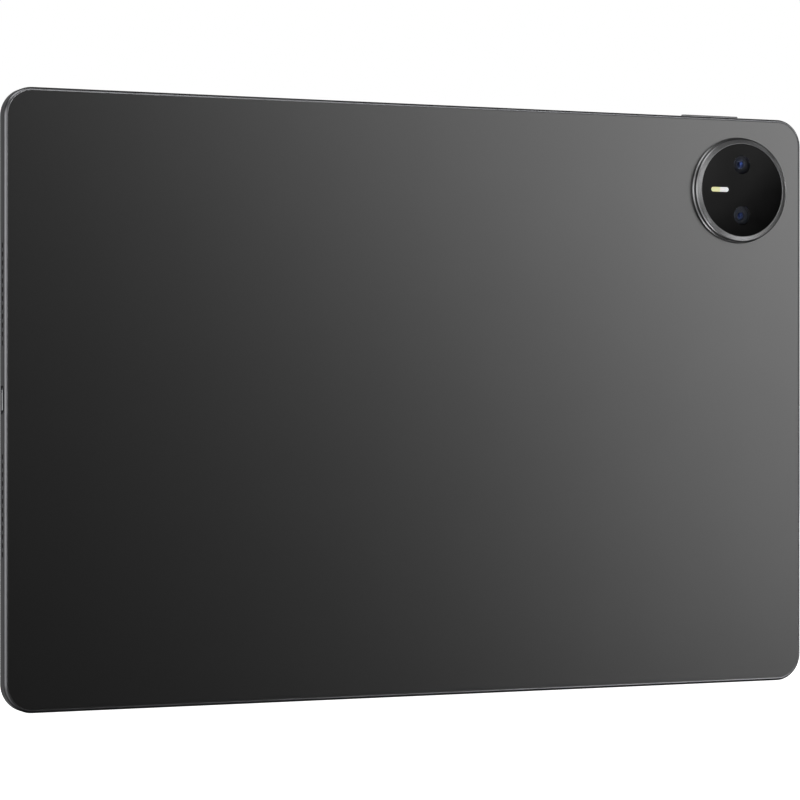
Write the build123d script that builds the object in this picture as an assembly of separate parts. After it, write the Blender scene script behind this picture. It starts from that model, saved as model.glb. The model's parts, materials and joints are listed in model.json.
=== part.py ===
from build123d import *
import os

# A 13-inch-class tablet computer, standing on its long edge, in millimetres.
# X runs along the long edge, Z is up and Y runs from the screen (-Y) to the rear cover (+Y).
# The origin is on the flat of the bottom edge, half way along it and half way through the body.
# The port edge is at +X, and the camera and the volume key are near the -X end of the top edge.

# Body
body_length = 289.1
body_height = 196.1
body_thickness = 5.5
corner_radius = 9.2
rear_edge_radius = 0.9
front_edge_radius = 0.6
wall = 2.4

# Layers, from the screen to the rear cover
front_y = -body_thickness / 2
rear_y = body_thickness / 2
glass_back_y = -2.20
display_ledge_y = -2.05
panel_back_y = -1.65
plate_front_y = -1.60
plate_rear_y = -1.10
cover_ledge_y = 2.00
cover_front_y = 2.15

# How far each outline lies inside the body's own
glass_inset = 0.90
glass_recess_inset = 0.85
display_tape_inset = 0.95
display_bay_inset = 2.00
panel_inset = 5.60
cover_recess_inset = 1.05
cover_inset = 1.09
cover_tape_inset = 1.20

# Camera
camera_x = -119.35
camera_z = 170.85
cover_hole_radius = 17.10
spigot_radius = 17.00
ring_bore_radius = 15.10
ring_base_radius = 18.40
ring_top_radius = 18.00
ring_groove_radius = 17.70
camera_glass_radius = 16.00
ring_base_y = 2.85
ring_top_y = 5.45
camera_glass_front_y = 5.30
camera_glass_back_y = 4.55
lens_spacing = 17.60
flash_x = 8.80
flash_length = 6.90
flash_width = 1.62
housing_size = 9.60
housing_bottom_y = -0.10
housing_top_y = 3.90
barrel_radius = 3.40
focus_travel = 0.30

# Keys
volume_x = -109.35
volume_length = 22.00
volume_height = 0.58
key_thickness = 2.10
key_clearance = 0.12
flange_thickness = 0.50
flange_side = 0.80
flange_half_depth = 1.40
volume_flange_gap = 0.30
power_z = 174.00
power_length = 14.00
power_height = 0.50
power_travel = 0.25
power_flange_gap = 0.03
key_pocket_depth = 2.80

# Ports and sound
usb_slot_length = 9.10
usb_slot_width = 3.20
usb_shell_length = 8.90
usb_shell_width = 3.12
usb_mouth_length = 8.34
usb_mouth_width = 2.56
usb_setback = 0.35
usb_depth = 6.20
usb_block = 1.10
grille_offset = 33.05
grille_pitch = 2.777
grille_slots = 12
grille_slot_length = 1.75
grille_slot_width = 0.95
grille_y = 0.45
speaker_size = (20.0, 2.8, 34.0)

# Power and boards
battery_size = (100.0, 2.6, 124.0)
battery_gap = 4.0
battery_bottom = 14.0
tape_thickness = 0.10
board_thickness = 0.80
board_standoff = 0.50
screw_shank_radius = 0.60
screw_head_radius = 1.30
screw_head_height = 0.50
screw_hole_radius = 0.75
board_x = 2.0
board_z = 170.0
board_size = (192.0, 36.0)
processor_at = (-55.0, 170.0)
memory_at = (5.0, 170.0)
radio_at = (62.0, 170.0)
display_cable_x = -40.0
display_cable_z = 148.0

# Front camera, light sensor and microphones
front_barrel_radius = 1.30
front_camera_z = 192.25
light_sensor_radius = 0.80
light_sensor_x = 9.0
microphone_places = (-92.0, 60.0)
microphone_hole_radius = 0.45

half_length = body_length / 2
middle_z = body_height / 2
top_wall_z = body_height - wall
short_wall_x = half_length - wall
board_front_y = plate_rear_y + board_standoff
board_rear_y = board_front_y + board_thickness
barrel_front_y = camera_glass_back_y - 0.15 - focus_travel
barrel_back_y = 0.30


def standing_plane(depth):
    """Upright plane at a depth, seen from the screen side: x along the tablet, y up."""
    return Plane(origin=(0, depth, 0), x_dir=(1, 0, 0), z_dir=(0, -1, 0))


def slab(outline, front, rear):
    """Outline of the tablet's long face, given a thickness between two depths."""
    return extrude(standing_plane(rear) * outline, amount=rear - front)


def panel(width, height, front, rear, x=0, z=middle_z, radius=0.5):
    """Rounded plate parallel to the screen."""
    return slab(Pos(x, z) * RectangleRounded(width, height, radius), front, rear)


def inset_panel(inset, front, rear):
    """Plate with the body's own outline, moved inwards."""
    radius = max(corner_radius - inset, 1.5)
    return panel(body_length - 2 * inset, body_height - 2 * inset, front, rear, radius=radius)


def disc(radius, front, rear, x, z):
    """Round plate parallel to the screen."""
    return slab(Pos(x, z) * Circle(radius), front, rear)


def block(size, centre):
    """Box with its centre at a point."""
    return Pos(*centre) * Box(*size)


def turned(profile, x, z):
    """Solid turned about an axis square to the screen, from points of (radius, depth)."""
    outline = make_face(Polyline(*[(r, y) for r, y in profile], close=True))
    return Pos(x, 0, z) * revolve(outline, Axis.Y)


def upright_slot(length, width, depth, centre):
    """Stadium along Z through a short wall."""
    plane = Plane(origin=centre, x_dir=(0, 0, 1), z_dir=(1, 0, 0))
    return extrude(plane * SlotOverall(length, width), amount=depth / 2, both=True)


def edge_slot(length, width, depth, centre):
    """Rounded slot along X through the top wall."""
    plane = Plane(origin=centre, x_dir=(1, 0, 0), z_dir=(0, 0, 1))
    outline = plane * RectangleRounded(length, width, width * 0.45)
    return extrude(outline, amount=depth / 2, both=True)


def grille_heights(group_z):
    """Height of each slot in one speaker grille."""
    first = group_z - grille_pitch * (grille_slots - 1) / 2
    return [first + grille_pitch * step for step in range(grille_slots)]


def screw(x, z, head_y, length):
    """Pan-head screw driven in from the rear, with a cross recess in its head."""
    head = disc(screw_head_radius, head_y, head_y + screw_head_height, x, z)
    shank = disc(screw_shank_radius, head_y - length, head_y, x, z)
    recess = block((1.2, 0.4, 0.3), (x, head_y + screw_head_height, z))
    cross = block((0.3, 0.4, 1.2), (x, head_y + screw_head_height, z))
    return head + shank - recess - cross


def group(solids):
    """Several separate solids kept as one node."""
    return Compound(children=list(solids))


side_sign = {"port_side": 1, "far_side": -1}
level_sign = {"lower": -1, "upper": 1}
board_screws_at = [(-88, 156), (-88, 184), (-20, 156), (30, 184), (92, 156), (92, 184)]
usb_screws_at = [(127.0, 87.5), (127.0, 108.6)]
aerials_at = [(-135.5, 26.0), (135.5, 26.0), (135.5, 164.0)]


def speaker_centre(side, level):
    """Centre of a speaker box, against the inside of its short wall."""
    x = side_sign[side] * (short_wall_x - 0.6 - speaker_size[0] / 2)
    z = middle_z + level_sign[level] * grille_offset
    return (x, plate_rear_y + speaker_size[1] / 2, z)


def make_mid_frame():
    """Milled frame: wall, mid plate, ledges for both faces, and every slot through the wall."""
    frame = inset_panel(0, front_y, rear_y)
    frame = fillet(frame.faces().sort_by(Axis.Y)[-1].edges(), rear_edge_radius)
    frame = fillet(frame.faces().sort_by(Axis.Y)[0].edges(), front_edge_radius)
    frame -= inset_panel(glass_recess_inset, front_y - 1, display_ledge_y)
    frame -= inset_panel(display_bay_inset, display_ledge_y - 0.1, plate_front_y)
    frame -= inset_panel(cover_recess_inset, cover_ledge_y, rear_y + 1)
    frame -= inset_panel(wall, plate_rear_y, cover_ledge_y + 0.1)
    # Pockets for the keys' flanges and switches, and the slots that the keys stand in
    key_y = (plate_front_y + cover_ledge_y) / 2
    pocket_y = cover_ledge_y - plate_front_y
    volume_pocket = (volume_length + 3.2, pocket_y, key_pocket_depth)
    frame -= block(volume_pocket, (volume_x, key_y, top_wall_z - key_pocket_depth / 2))
    slot_length = volume_length + 2 * key_clearance
    slot_width = key_thickness + 2 * key_clearance
    frame -= edge_slot(slot_length, slot_width, 2 * wall, (volume_x, 0, body_height - wall / 2))
    power_pocket = (key_pocket_depth, pocket_y, power_length + 3.2)
    frame -= block(power_pocket, (-short_wall_x + key_pocket_depth / 2, key_y, power_z))
    power_slot_length = power_length + 2 * key_clearance
    power_centre = (-half_length + wall / 2, 0, power_z)
    frame -= upright_slot(power_slot_length, slot_width, 2 * wall, power_centre)
    # Port
    port_pocket = (usb_depth + usb_block + 1.0, pocket_y, usb_shell_length + 1.0)
    frame -= block(port_pocket, (short_wall_x - port_pocket[0] / 2, key_y, middle_z))
    port_centre = (half_length - wall / 2, 0, middle_z)
    frame -= upright_slot(usb_slot_length, usb_slot_width, 2 * wall, port_centre)
    # Speaker grilles in both short walls
    slots = []
    for side in side_sign.values():
        for level in level_sign.values():
            for height in grille_heights(middle_z + level * grille_offset):
                centre = (side * (half_length - wall / 2), grille_y, height)
                slots.append(upright_slot(grille_slot_length, grille_slot_width, 2 * wall, centre))
    frame -= slots
    # Microphone holes in the top wall
    for x in microphone_places:
        frame -= Pos(x, 0, body_height - wall / 2) * Cylinder(microphone_hole_radius, 2 * wall)
    # Bosses for the board screws, front camera hole and display cable slot in the mid plate
    for x, z in board_screws_at + usb_screws_at:
        frame += disc(1.8, plate_rear_y - 0.1, board_front_y, x, z)
        frame -= disc(screw_shank_radius + 0.02, plate_front_y, board_front_y + 0.1, x, z)
    frame -= disc(front_barrel_radius + 0.1, plate_front_y - 0.1, plate_rear_y + 0.1, 0, front_camera_z)
    frame -= disc(light_sensor_radius + 0.1, plate_front_y - 0.1, plate_rear_y + 0.1, light_sensor_x,
                  front_camera_z)
    frame -= panel(26, 1.4, plate_front_y - 0.1, plate_rear_y + 0.1, display_cable_x, display_cable_z, 0.5)
    return frame


def make_ring():
    """Turned camera ring: spigot through the cover, stepped wall, groove and sloped face."""
    return turned(
        [
            (ring_bore_radius, 1.60),
            (spigot_radius, 1.60),
            (spigot_radius, ring_base_y),
            (ring_base_radius, ring_base_y),
            (ring_base_radius, 3.25),
            (ring_base_radius - 0.15, 3.40),
            (ring_groove_radius, 3.40),
            (ring_groove_radius, 3.60),
            (ring_top_radius, 3.60),
            (ring_top_radius, 4.85),
            (ring_top_radius - 0.15, 5.00),
            (camera_glass_radius + 0.35, ring_top_y),
            (camera_glass_radius + 0.05, ring_top_y - 0.05),
            (camera_glass_radius + 0.05, camera_glass_back_y - 0.05),
            (ring_bore_radius, camera_glass_back_y - 0.05),
        ],
        camera_x,
        camera_z,
    )


def flash_outline(margin):
    """Stadium of the flash window, grown by a margin."""
    length = flash_length + 2 * margin
    return Pos(camera_x + flash_x, camera_z) * SlotOverall(length, flash_width + 2 * margin)


def make_housing(z):
    """Square camera can with a round well for its barrel."""
    can = panel(housing_size, housing_size, housing_bottom_y, housing_top_y, camera_x, z, 0.8)
    return can - disc(barrel_radius + 0.12, housing_bottom_y - 0.1, housing_top_y + 0.1, camera_x, z)


def make_barrel(z):
    """Lens barrel: a tube with a narrow stop at its front."""
    profile = [
        (2.60, barrel_back_y),
        (barrel_radius, barrel_back_y),
        (barrel_radius, barrel_front_y),
        (1.60, barrel_front_y),
        (1.60, barrel_front_y - 0.25),
        (2.60, barrel_front_y - 0.25),
    ]
    return turned(profile, camera_x, z)


def make_lenses(z):
    """Three lens elements in a barrel, the front one domed towards its stop."""
    front_section = [(0, 3.20), (2.55, 3.20), (2.55, 3.60), (1.50, 3.80), (0.80, 3.98), (0, 4.05)]
    front = turned(front_section, camera_x, z)
    middle = disc(2.55, 2.10, 2.70, camera_x, z)
    rear = disc(2.55, 0.90, 1.50, camera_x, z)
    return group([front, middle, rear])


def make_sensor(z):
    """Sensor on its small board."""
    board = panel(housing_size, housing_size, -0.60, housing_bottom_y, camera_x, z, 0.5)
    return board + block((4.8, 0.2, 3.6), (camera_x, housing_bottom_y + 0.05, z))


def make_volume_rocker():
    """Volume key: the cap in its slot, and the wider flange that keeps it in."""
    cap_bottom = top_wall_z - volume_flange_gap - flange_thickness
    cap_height = body_height + volume_height - cap_bottom
    centre = (volume_x, 0, cap_bottom + cap_height / 2)
    cap = edge_slot(volume_length, key_thickness, cap_height, centre)
    cap = fillet(cap.faces().sort_by(Axis.Z)[-1].edges(), 0.2)
    flange_size = (volume_length + 2 * flange_side, 2 * flange_half_depth, flange_thickness)
    return cap + block(flange_size, (volume_x, 0, cap_bottom + flange_thickness / 2))


def make_power_button():
    """Power button: the cap in its slot, and the wider flange that keeps it in."""
    flange_x = -short_wall_x + power_flange_gap
    cap_depth = flange_x + flange_thickness + half_length + power_height
    centre_x = -half_length - power_height + cap_depth / 2
    cap = upright_slot(power_length, key_thickness, cap_depth, (centre_x, 0, power_z))
    cap = fillet(cap.faces().sort_by(Axis.X)[0].edges(), 0.2)
    flange_size = (flange_thickness, 2 * flange_half_depth, power_length + 2 * flange_side)
    return cap + block(flange_size, (flange_x + flange_thickness / 2, 0, power_z))


def make_speaker(side, level):
    """Speaker box with its diaphragm window and the sound duct that faces the grille."""
    x, y, z = speaker_centre(side, level)
    half_depth = speaker_size[1] / 2
    box = panel(speaker_size[0], speaker_size[2], y - half_depth, y + half_depth, x, z, 1.2)
    box -= panel(12, 20, y + 0.9, y + speaker_size[1], x - side_sign[side] * 2, z, 2.0)
    duct_x = x + side_sign[side] * speaker_size[0] / 2
    return box - block((1.6, 1.6, 32.0), (duct_x, grille_y, z))


def make_speaker_mesh(side, level):
    """Strip of acoustic mesh held against the inside of a grille."""
    x = side_sign[side] * (short_wall_x - 0.2)
    z = middle_z + level_sign[level] * grille_offset
    return block((0.2, 2.0, 33.6), (x, grille_y, z))


def make_shield(width, height, x, z):
    """Shield can over part of the main board, with room under it for the chips."""
    top = board_rear_y + 1.30
    can = panel(width, height, board_rear_y, top, x, z, 1.0)
    room = panel(width - 0.4, height - 0.4, board_rear_y - 0.1, top - 0.2, x, z, 0.8)
    return can - room


parts = {}

# Both faces
parts["mid_frame"] = make_mid_frame()
cover_glass = inset_panel(glass_inset, front_y, glass_back_y)
parts["cover_glass"] = fillet(cover_glass.faces().sort_by(Axis.Y)[0].edges(), 0.25)
display_tape = inset_panel(display_tape_inset, glass_back_y, display_ledge_y)
parts["display_adhesive"] = display_tape - inset_panel(display_bay_inset - 0.1, front_y, rear_y)
parts["display_panel"] = inset_panel(panel_inset, glass_back_y, panel_back_y)
rear_cover = inset_panel(cover_inset, cover_front_y, rear_y)
cover_hole = disc(cover_hole_radius, cover_front_y - 1, rear_y + 1, camera_x, camera_z)
parts["rear_cover"] = rear_cover - cover_hole
cover_tape = inset_panel(cover_tape_inset, cover_ledge_y, cover_front_y)
parts["rear_cover_adhesive"] = cover_tape - inset_panel(wall, front_y, rear_y)

# Camera
parts["camera_ring"] = make_ring()
gasket = disc(ring_base_radius - 0.10, rear_y, ring_base_y, camera_x, camera_z)
gasket_hole = disc(spigot_radius + 0.15, rear_y - 1, rear_y + 1, camera_x, camera_z)
parts["camera_ring_gasket"] = gasket - gasket_hole
camera_glass = disc(camera_glass_radius, camera_glass_back_y, camera_glass_front_y, camera_x, camera_z)
camera_glass = fillet(camera_glass.faces().sort_by(Axis.Y)[-1].edges(), 0.15)
parts["camera_glass"] = camera_glass - slab(flash_outline(0.05), camera_glass_back_y - 1, ring_top_y)
glass_tape_front_y = camera_glass_back_y - 0.05
glass_tape = disc(camera_glass_radius - 0.05, glass_tape_front_y, camera_glass_back_y, camera_x, camera_z)
glass_tape -= disc(ring_bore_radius, camera_glass_back_y - 1, camera_glass_back_y + 1, camera_x, camera_z)
parts["camera_glass_adhesive"] = glass_tape
parts["flash_diffuser"] = slab(flash_outline(0), 3.80, camera_glass_front_y - 0.02)
parts["flash_board"] = panel(8.6, 3.6, 3.00, 3.30, camera_x + flash_x, camera_z, 0.4)
led_places = (camera_x + flash_x - flash_length / 4, camera_x + flash_x + flash_length / 4)
parts["flash_leds"] = group([block((2.4, 0.4, 1.5), (x, 3.50, camera_z)) for x in led_places])
main_z = camera_z + lens_spacing / 2
wide_z = camera_z - lens_spacing / 2
for name, z in (("main_camera", main_z), ("wide_camera", wide_z)):
    parts[name + "_housing"] = make_housing(z)
    parts[name + "_barrel"] = make_barrel(z)
    parts[name + "_lenses"] = make_lenses(z)
    parts[name + "_sensor"] = make_sensor(z)
tray = panel(11.0, 28.4, plate_rear_y, 1.20, camera_x, camera_z, 1.2)
tray -= panel(9.8, 27.4, -0.60, 1.30, camera_x, camera_z, 0.8)
tray += block((0.5, 4.0, 3.0), (camera_x + 5.15, 1.00, camera_z))
parts["camera_bracket"] = tray + block((7.9, 0.5, 3.0), (camera_x + 8.85, 2.75, camera_z))
front_housing = panel(6.4, 5.2, plate_rear_y, 1.60, 0, 190.9, 0.6)
front_barrel = disc(front_barrel_radius, glass_back_y, plate_rear_y, 0, front_camera_z)
parts["front_camera"] = front_housing + front_barrel
sensor_board = panel(5.0, 4.0, plate_rear_y, -0.70, light_sensor_x, 191.4, 0.4)
sensor_window = disc(light_sensor_radius, glass_back_y, plate_rear_y, light_sensor_x, front_camera_z)
parts["light_sensor"] = sensor_board + sensor_window

# Keys
parts["volume_rocker"] = make_volume_rocker()
flange_bottom = top_wall_z - volume_flange_gap - flange_thickness
dome_top = flange_bottom - 0.20
dome_places = (volume_x - 7.0, volume_x + 7.0)
parts["volume_domes"] = group(
    [Pos(x, 0, dome_top - 0.15) * Cylinder(1.1, 0.30) for x in dome_places]
)
parts["volume_flex"] = block((23.0, 3.0, 0.60), (volume_x, 0.2, dome_top - 0.60))
parts["power_button"] = make_power_button()
power_dome_x = -short_wall_x + power_flange_gap + flange_thickness + power_travel + 0.05
power_dome = Plane(origin=(power_dome_x, 0, power_z), x_dir=(0, 1, 0), z_dir=(1, 0, 0)) * Circle(1.3)
parts["power_dome"] = extrude(power_dome, amount=0.30)
parts["power_flex"] = block((0.60, 3.0, 15.0), (power_dome_x + 0.60, 0.2, power_z))

# Port
shell_x = half_length - usb_setback
shell_depth = usb_depth + usb_block
shell_centre = (shell_x - shell_depth / 2, 0, middle_z)
shell = upright_slot(usb_shell_length, usb_shell_width, shell_depth, shell_centre)
mouth_centre = (shell_x - usb_depth / 2 + 0.5, 0, middle_z)
parts["usb_shell"] = shell - upright_slot(usb_mouth_length, usb_mouth_width, usb_depth + 1.0, mouth_centre)
tongue_length = 4.45
tongue = block((tongue_length, 0.70, 6.69), (shell_x - usb_depth + tongue_length / 2, 0, middle_z))
parts["usb_tongue"] = tongue
usb_board_width = 12.0
usb_board_x = shell_x - shell_depth - usb_board_width / 2
usb_board = panel(usb_board_width, 26.0, board_front_y, board_rear_y, usb_board_x, middle_z, 0.8)
for x, z in usb_screws_at:
    usb_board -= disc(screw_hole_radius, board_front_y - 1, board_rear_y + 1, x, z)
parts["usb_board"] = usb_board

# Sound
for side in side_sign:
    for level in level_sign:
        ending = "_" + level + "_" + side
        parts["speaker" + ending] = make_speaker(side, level)
        parts["speaker_mesh" + ending] = make_speaker_mesh(side, level)
parts["microphones"] = group(
    [block((3.0, 2.0, 0.9), (x, 0, top_wall_z - 0.45)) for x in microphone_places]
)

# Power and boards
for name, side in (("battery_far_side", -1), ("battery_port_side", 1)):
    x = side * (battery_size[0] + battery_gap) / 2
    z = battery_bottom + battery_size[2] / 2
    bottom_y = plate_rear_y + tape_thickness
    parts[name] = panel(battery_size[0], battery_size[2], bottom_y, bottom_y + battery_size[1], x, z, 2.0)
parts["battery_adhesive"] = group(
    panel(70, 12, plate_rear_y, plate_rear_y + tape_thickness, side * 52, z, 1.0)
    for side in (-1, 1)
    for z in (30, 76, 122)
)
parts["battery_board"] = panel(64, 6, -0.40, 0.40, 0, 142.5, 0.5)
main_board = panel(board_size[0], board_size[1], board_front_y, board_rear_y, board_x, board_z, 2.0)
for x, z in board_screws_at:
    main_board -= disc(screw_hole_radius, board_front_y - 1, board_rear_y + 1, x, z)
parts["main_board"] = main_board
parts["processor_shield"] = make_shield(52, 30, *processor_at)
parts["memory_shield"] = make_shield(40, 30, *memory_at)
parts["radio_shield"] = make_shield(44, 26, *radio_at)
chip_top = board_rear_y + 0.9
parts["processor_chip"] = panel(15, 15, board_rear_y, chip_top, *processor_at, 0.4)
parts["memory_chips"] = group(
    panel(11.5, 13, board_rear_y, chip_top, memory_at[0] + offset, memory_at[1], 0.4)
    for offset in (-8.5, 8.5)
)
parts["graphite_sheet"] = panel(186, 58, 1.60, 1.75, 2.0, 158.0, 2.0)
flex_rear_y = plate_rear_y + 0.2
link_flex = panel(6.0, 78.0, plate_rear_y, flex_rear_y, 112.5, 137.0, 1.0)
link_flex += panel(24.0, 6.0, plate_rear_y, flex_rear_y, 103.5, 173.0, 1.0)
parts["link_flex"] = link_flex + panel(18.0, 6.0, plate_rear_y, flex_rear_y, 118.5, 101.0, 1.0)
cable = panel(24.0, 0.6, panel_back_y, flex_rear_y, display_cable_x, display_cable_z, 0.2)
parts["display_flex"] = cable + panel(24.0, 9.0, plate_rear_y, flex_rear_y, display_cable_x, 152.2, 0.5)

# Pen charging, magnets and aerials
parts["pen_charging_coil"] = panel(44.0, 2.2, -0.9, 1.3, 96.0, top_wall_z - 1.3, 0.8)
parts["cover_magnets"] = group(
    panel(9.0, 3.0, plate_rear_y, 0.9, x, 5.4, 0.4) for x in (-112, -96, -80, 80, 96, 112)
)
parts["aerials"] = group(panel(6.0, 26.0, plate_rear_y, -0.1, x, z, 0.6) for x, z in aerials_at)

# Screws
parts["board_screws"] = group(
    screw(x, z, board_rear_y, board_thickness + board_standoff) for x, z in board_screws_at + usb_screws_at
)

os.makedirs("parts", exist_ok=True)
for name, shape in parts.items():
    export_step(shape, "parts/" + name + ".step")
print(len(parts), "nodes")
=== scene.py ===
"""A thin tablet computer with a satin metal back, standing upright and seen from behind."""
from __future__ import annotations

import json
import logging
import math
from collections.abc import Iterable, Iterator, Sequence
from dataclasses import dataclass
from enum import Enum

import bmesh
import bpy
from mathutils import Matrix, Vector


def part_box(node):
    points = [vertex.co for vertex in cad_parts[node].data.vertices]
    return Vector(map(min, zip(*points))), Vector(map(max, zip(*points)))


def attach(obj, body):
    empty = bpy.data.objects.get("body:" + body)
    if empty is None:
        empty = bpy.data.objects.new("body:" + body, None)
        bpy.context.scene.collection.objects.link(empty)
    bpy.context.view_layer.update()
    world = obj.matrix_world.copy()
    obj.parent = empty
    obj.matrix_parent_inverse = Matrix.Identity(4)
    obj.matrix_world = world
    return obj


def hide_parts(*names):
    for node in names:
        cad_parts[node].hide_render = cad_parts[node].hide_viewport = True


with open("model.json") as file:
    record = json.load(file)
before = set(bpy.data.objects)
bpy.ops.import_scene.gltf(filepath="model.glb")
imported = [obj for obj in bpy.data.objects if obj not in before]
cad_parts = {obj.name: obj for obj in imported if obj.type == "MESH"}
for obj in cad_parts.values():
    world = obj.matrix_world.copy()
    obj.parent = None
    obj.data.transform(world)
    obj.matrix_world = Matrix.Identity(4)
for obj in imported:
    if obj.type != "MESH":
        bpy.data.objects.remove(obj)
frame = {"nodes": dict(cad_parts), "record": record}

LOG = logging.getLogger("tablet")
MM = 0.001
SHARP_ANGLE = math.radians(34.0)
# A wave texture counts this many radians of wave to a unit of its scale
WAVE_UNITS = 20

Outline = list[tuple[float, float]]
Profile = Sequence[tuple[float, float]]
Material = bpy.types.Material
Skin = bmesh.types.BMesh
Tree = bpy.types.NodeTree
Socket = bpy.types.NodeSocket
Inputs = dict[str | int, object]


class Body(Enum):
    """The rigid bodies that pieces ride on."""

    TABLET = "tablet"
    VOLUME_KEY = "volume_key"
    POWER_KEY = "power_key"
    FOCUS = "focus_carriage"


class Side(Enum):
    """The two short edges, as the sign of X."""

    PORT = 1
    FAR = -1


class Level(Enum):
    """The two heights of speaker, as the sign of their offset from the middle."""

    LOWER = -1
    UPPER = 1


# ---------------------------------------------------------------- colours and nodes


def linear(hex_colour: str) -> tuple[float, float, float, float]:
    """Turn an sRGB hex colour into linear red, green, blue and alpha.

    Args:
        hex_colour: six hex digits after a hash.

    Returns:
        The linear colour, opaque.
    """
    values = [int(hex_colour[i : i + 2], 16) / 255 for i in (1, 3, 5)]
    red, green, blue = (v / 12.92 if v <= 0.04045 else ((v + 0.055) / 1.055) ** 2.4 for v in values)
    return (red, green, blue, 1.0)


def feed(node: bpy.types.Node, values: Inputs) -> None:
    """Give a node its settings and links.

    Args:
        node: the node.
        values: values or feeding sockets, by attribute name, or by input name or number.
    """
    for key, value in values.items():
        if isinstance(value, Socket):
            node.id_data.links.new(value, node.inputs[key])
        elif isinstance(key, str) and hasattr(node, key):
            setattr(node, key, value)
        else:
            node.inputs[key].default_value = value


def add_node(tree: Tree, kind: str, values: Inputs) -> bpy.types.Node:
    """Add a node to a tree, with its settings and links."""
    node = tree.nodes.new(kind)
    feed(node, values)
    return node


def compute(tree: Tree, operation: str, *values: Socket | float) -> Socket:
    """Work out one sum on numbers or sockets."""
    return add_node(tree, "ShaderNodeMath", {"operation": operation} | dict(enumerate(values))).outputs[0]


def stretch(
    tree: Tree,
    value: Socket,
    start: float,
    end: float,
    low: float = 0.0,
    high: float = 1.0,
    kind: str = "LINEAR",
) -> Socket:
    """Map a value from one range to another.

    Args:
        tree: the tree that gets the node.
        value: the value.
        start: value that gives the low result.
        end: value that gives the high result.
        low: the low result.
        high: the high result.
        kind: the node's interpolation.

    Returns:
        The mapped value, held between the low and the high result.
    """
    values = {"interpolation_type": kind, "From Min": start, "From Max": end, "To Min": low, "To Max": high}
    return add_node(tree, "ShaderNodeMapRange", {**values, "Value": value}).outputs["Result"]


def new_surface(name: str, values: Inputs) -> tuple[Material, bpy.types.Node]:
    """Make a material that holds one Principled shader.

    Args:
        name: the material's name.
        values: values for the shader's own sockets.

    Returns:
        The material and its shader.
    """
    material = bpy.data.materials.new(name)
    material.use_nodes = True
    tree = material.node_tree
    tree.nodes.clear()
    shader = add_node(tree, "ShaderNodeBsdfPrincipled", values)
    add_node(tree, "ShaderNodeOutputMaterial", {"Surface": shader.outputs["BSDF"]})
    return material, shader


def own_place(tree: Tree) -> Socket:
    """Where a point is on its own piece, in metres."""
    return add_node(tree, "ShaderNodeTexCoord", {}).outputs["Object"]


def own_axis(tree: Tree, axis: str) -> Socket:
    """Where a point is along one axis of its own piece, in metres."""
    return add_node(tree, "ShaderNodeSeparateXYZ", {"Vector": own_place(tree)}).outputs[axis]


def grain(tree: Tree, size_mm: float, detail: float = 2.0) -> Socket:
    """Noise on the piece's own coordinates, whose grains are a real size.

    Args:
        tree: the material's node tree.
        size_mm: width of one grain in millimetres.
        detail: how many finer layers the noise holds.

    Returns:
        The noise's value, from 0 to 1.
    """
    values = {"Scale": 1.0 / MM / size_mm, "Detail": detail, "Roughness": 0.5, "Vector": own_place(tree)}
    return add_node(tree, "ShaderNodeTexNoise", values).outputs["Fac"]


def tooling_lines(tree: Tree, spacing_mm: float, values: Inputs) -> Socket:
    """Even waves at a real spacing, from 0 to 1."""
    scale = math.tau / (WAVE_UNITS * spacing_mm * MM)
    return add_node(tree, "ShaderNodeTexWave", {**values, "Scale": scale}).outputs["Fac"]


def between(tree: Tree, noise: Socket, low: float, high: float) -> Socket:
    """Stretch the middle of a noise value over a range."""
    return stretch(tree, noise, 0.3, 0.7, low, high)


def blend_colours(tree: Tree, factor: Socket, first: str, second: str) -> Socket:
    """Mix two sRGB hex colours, where a factor of 0 gives the first and 1 the second."""
    values = {"data_type": "RGBA", 6: linear(first), 7: linear(second), 0: factor}
    return add_node(tree, "ShaderNodeMix", values).outputs[2]


def raise_grain(tree: Tree, height: Socket, strength: float, depth_mm: float) -> Socket:
    """Turn a height from 0 to 1 into a bumped normal.

    Args:
        tree: the material's node tree.
        height: the height.
        strength: how much of the bump shows.
        depth_mm: real depth of the relief in millimetres.

    Returns:
        The normal.
    """
    values = {"Strength": strength, "Distance": depth_mm * MM, "Height": height}
    return add_node(tree, "ShaderNodeBump", values).outputs["Normal"]


# ---------------------------------------------------------------- finishes


@dataclass(frozen=True)
class AnodisedAluminium:
    """Aluminium sheet or billet, bead-blasted and then dyed in the anodising bath.

    Blasting gives an even satin grain of about a tenth of a millimetre, so lights spread into
    wide soft gradients, and the dye leaves a dark grey metal tint.
    """

    name: str
    dark: str
    light: str
    roughness: float
    grain_mm: float = 0.12
    cloud_mm: float = 24.0
    relief: float = 0.06
    relief_mm: float = 0.01

    def build(self) -> Material:
        """Make the material."""
        material, shader = new_surface(self.name, {"Metallic": 1.0})
        tree = material.node_tree
        fine = grain(tree, self.grain_mm)
        # Dye takes a little unevenly over a few centimetres, which only just shows
        cloud = grain(tree, self.cloud_mm, 1.0)
        feed(shader, {
            "Base Color": blend_colours(tree, cloud, self.dark, self.light),
            "Roughness": between(tree, fine, self.roughness - 0.02, self.roughness + 0.02),
            "Normal": raise_grain(tree, fine, self.relief, self.relief_mm),
        })
        return material


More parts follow.
